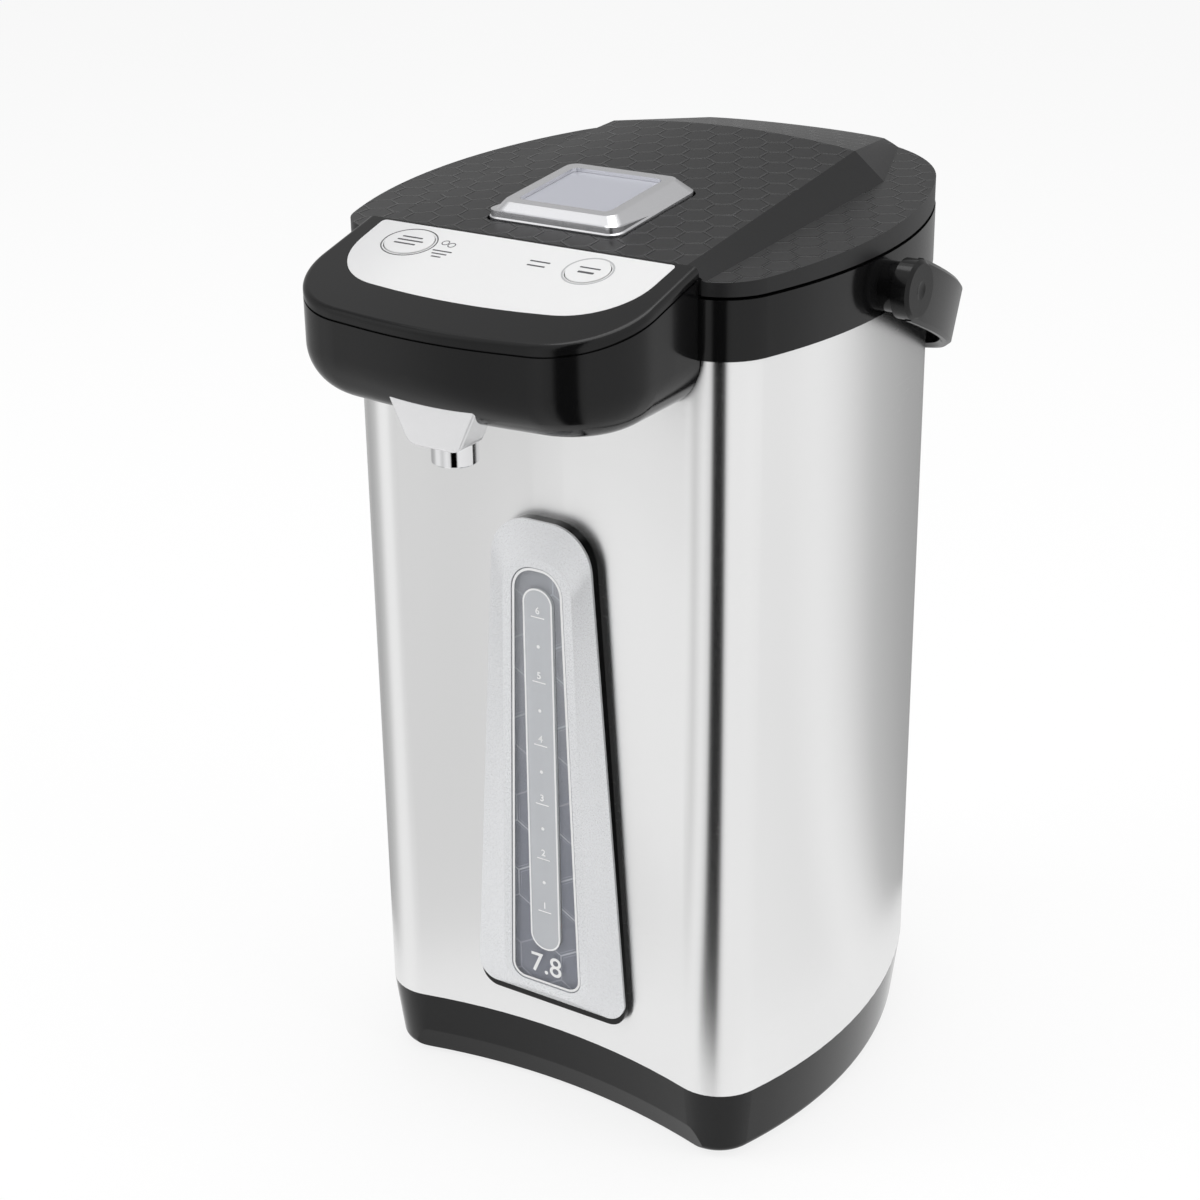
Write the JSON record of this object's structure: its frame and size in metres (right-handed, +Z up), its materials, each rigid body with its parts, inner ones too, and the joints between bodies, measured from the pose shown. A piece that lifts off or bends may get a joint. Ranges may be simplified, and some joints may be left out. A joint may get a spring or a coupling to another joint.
{
  "type": "electric_thermo_pot",
  "caption": "Electric thermo pot with steel body, front level gauge, overhanging dispensing head and spout, hinged lid with air-pump plate, and folding carry handle.",
  "frame": {"origin": "Centre of the bounding box in plan, on the plane that the four feet stand on.", "axes": "+Z is up. The spout and the level gauge face -Y. +X is the right-hand side for someone who looks at the spout and gauge."},
  "size_m": [0.2436, 0.3043, 0.4094],
  "materials": {
    "black_plastic": "glossy",
    "dark_plastic": "satin",
    "brushed_steel": "brushed",
    "silver_plastic": "metallic paint",
    "white_plastic": "satin",
    "rubber": "matte",
    "silicone": "matte",
    "clear_plastic": "clear",
    "gauge_print": "glossy",
    "red_plastic": "glossy",
    "bright_steel": "polished",
    "brass": "plain",
    "aluminium": "cast",
    "circuit_board": "satin"
  },
  "bodies": {
    "pot": {"base_shell": "black_plastic", "base_plate": "dark_plastic", "rubber_feet": "rubber", "base_screws": "bright_steel", "power_inlet": "dark_plastic", "inlet_pins": "brass", "outer_jacket": "brushed_steel", "top_collar": "black_plastic", "hinge_pin": "bright_steel", "head_housing": "black_plastic", "head_bezel": "black_plastic", "control_film": "silver_plastic", "control_board": "circuit_board", "key_switches": "dark_plastic", "signal_lamps": "red_plastic", "spout_cover": "silver_plastic", "spout_elbow": "dark_plastic", "spout_nozzle": "bright_steel", "feed_hose": "silicone", "riser_hose": "silicone", "gauge_base": "black_plastic", "gauge_bezel": "silver_plastic", "gauge_window": "clear_plastic", "gauge_panel": "gauge_print", "level_tube": "clear_plastic", "handle_pivots": "dark_plastic", "inner_tank": "bright_steel", "tank_bottom": "bright_steel", "tank_seal": "silicone", "tank_heater": "aluminium", "thermostat": "bright_steel", "pump_housing": "white_plastic", "pump_motor": "bright_steel", "tank_hose": "silicone", "power_board": "circuit_board", "board_parts": "dark_plastic"},
    "lid": {"lid_shell": "black_plastic", "lid_liner": "dark_plastic", "lid_gasket": "silicone", "bellows": "white_plastic", "press_spring": "bright_steel", "latch_spring": "bright_steel"},
    "press_plate": {"press_frame": "silver_plastic", "press_insert": "dark_plastic"},
    "latch": {"lid_latch": "dark_plastic"},
    "reboil": {"reboil_button": "silver_plastic"},
    "dispense": {"dispense_button": "silver_plastic"},
    "level_float": {"float_ball": "red_plastic"},
    "pump_rotor": {"impeller": "white_plastic"},
    "handle": {"carry_handle": "black_plastic"}
  },
  "joints": [
    {"name": "lid_hinge", "type": "hinge", "parent": "pot", "child": "lid", "pos_m": [0, 0.124, 0.393], "axis": [-1, 0, 0], "range_deg": [0, 85]},
    {"name": "press_slide", "type": "slide", "parent": "lid", "child": "press_plate", "axis": [0, 0, -1], "range_m": [0, 0.0115], "stiffness_N_per_m": 900, "springref_m": -0.004, "deforming": ["bellows", "press_spring"]},
    {"name": "latch_slide", "type": "slide", "parent": "lid", "child": "latch", "axis": [0, 1, 0], "range_m": [0, 0.0035], "stiffness_N_per_m": 600, "springref_m": -0.002, "deforming": ["latch_spring"]},
    {"name": "reboil_press", "type": "slide", "parent": "pot", "child": "reboil", "axis": [0, 0.2562, -0.9666], "range_m": [0, 0.0008], "stiffness_N_per_m": 800, "springref_m": -0.0005},
    {"name": "dispense_press", "type": "slide", "parent": "pot", "child": "dispense", "axis": [0, 0.2562, -0.9666], "range_m": [0, 0.0008], "stiffness_N_per_m": 800, "springref_m": -0.0005},
    {"name": "float_rise", "type": "slide", "parent": "pot", "child": "level_float", "axis": [0, 0, 1], "range_m": [0, 0.155]},
    {"name": "impeller_spin", "type": "hinge", "parent": "pot", "child": "pump_rotor", "pos_m": [0, -0.026, 0.036], "axis": [0, 0, 1], "continuous": true},
    {"name": "handle_swing", "type": "hinge", "parent": "pot", "child": "handle", "pos_m": [0, 0.008, 0.37], "axis": [1, 0, 0], "range_deg": [0, 130]}
  ]
}
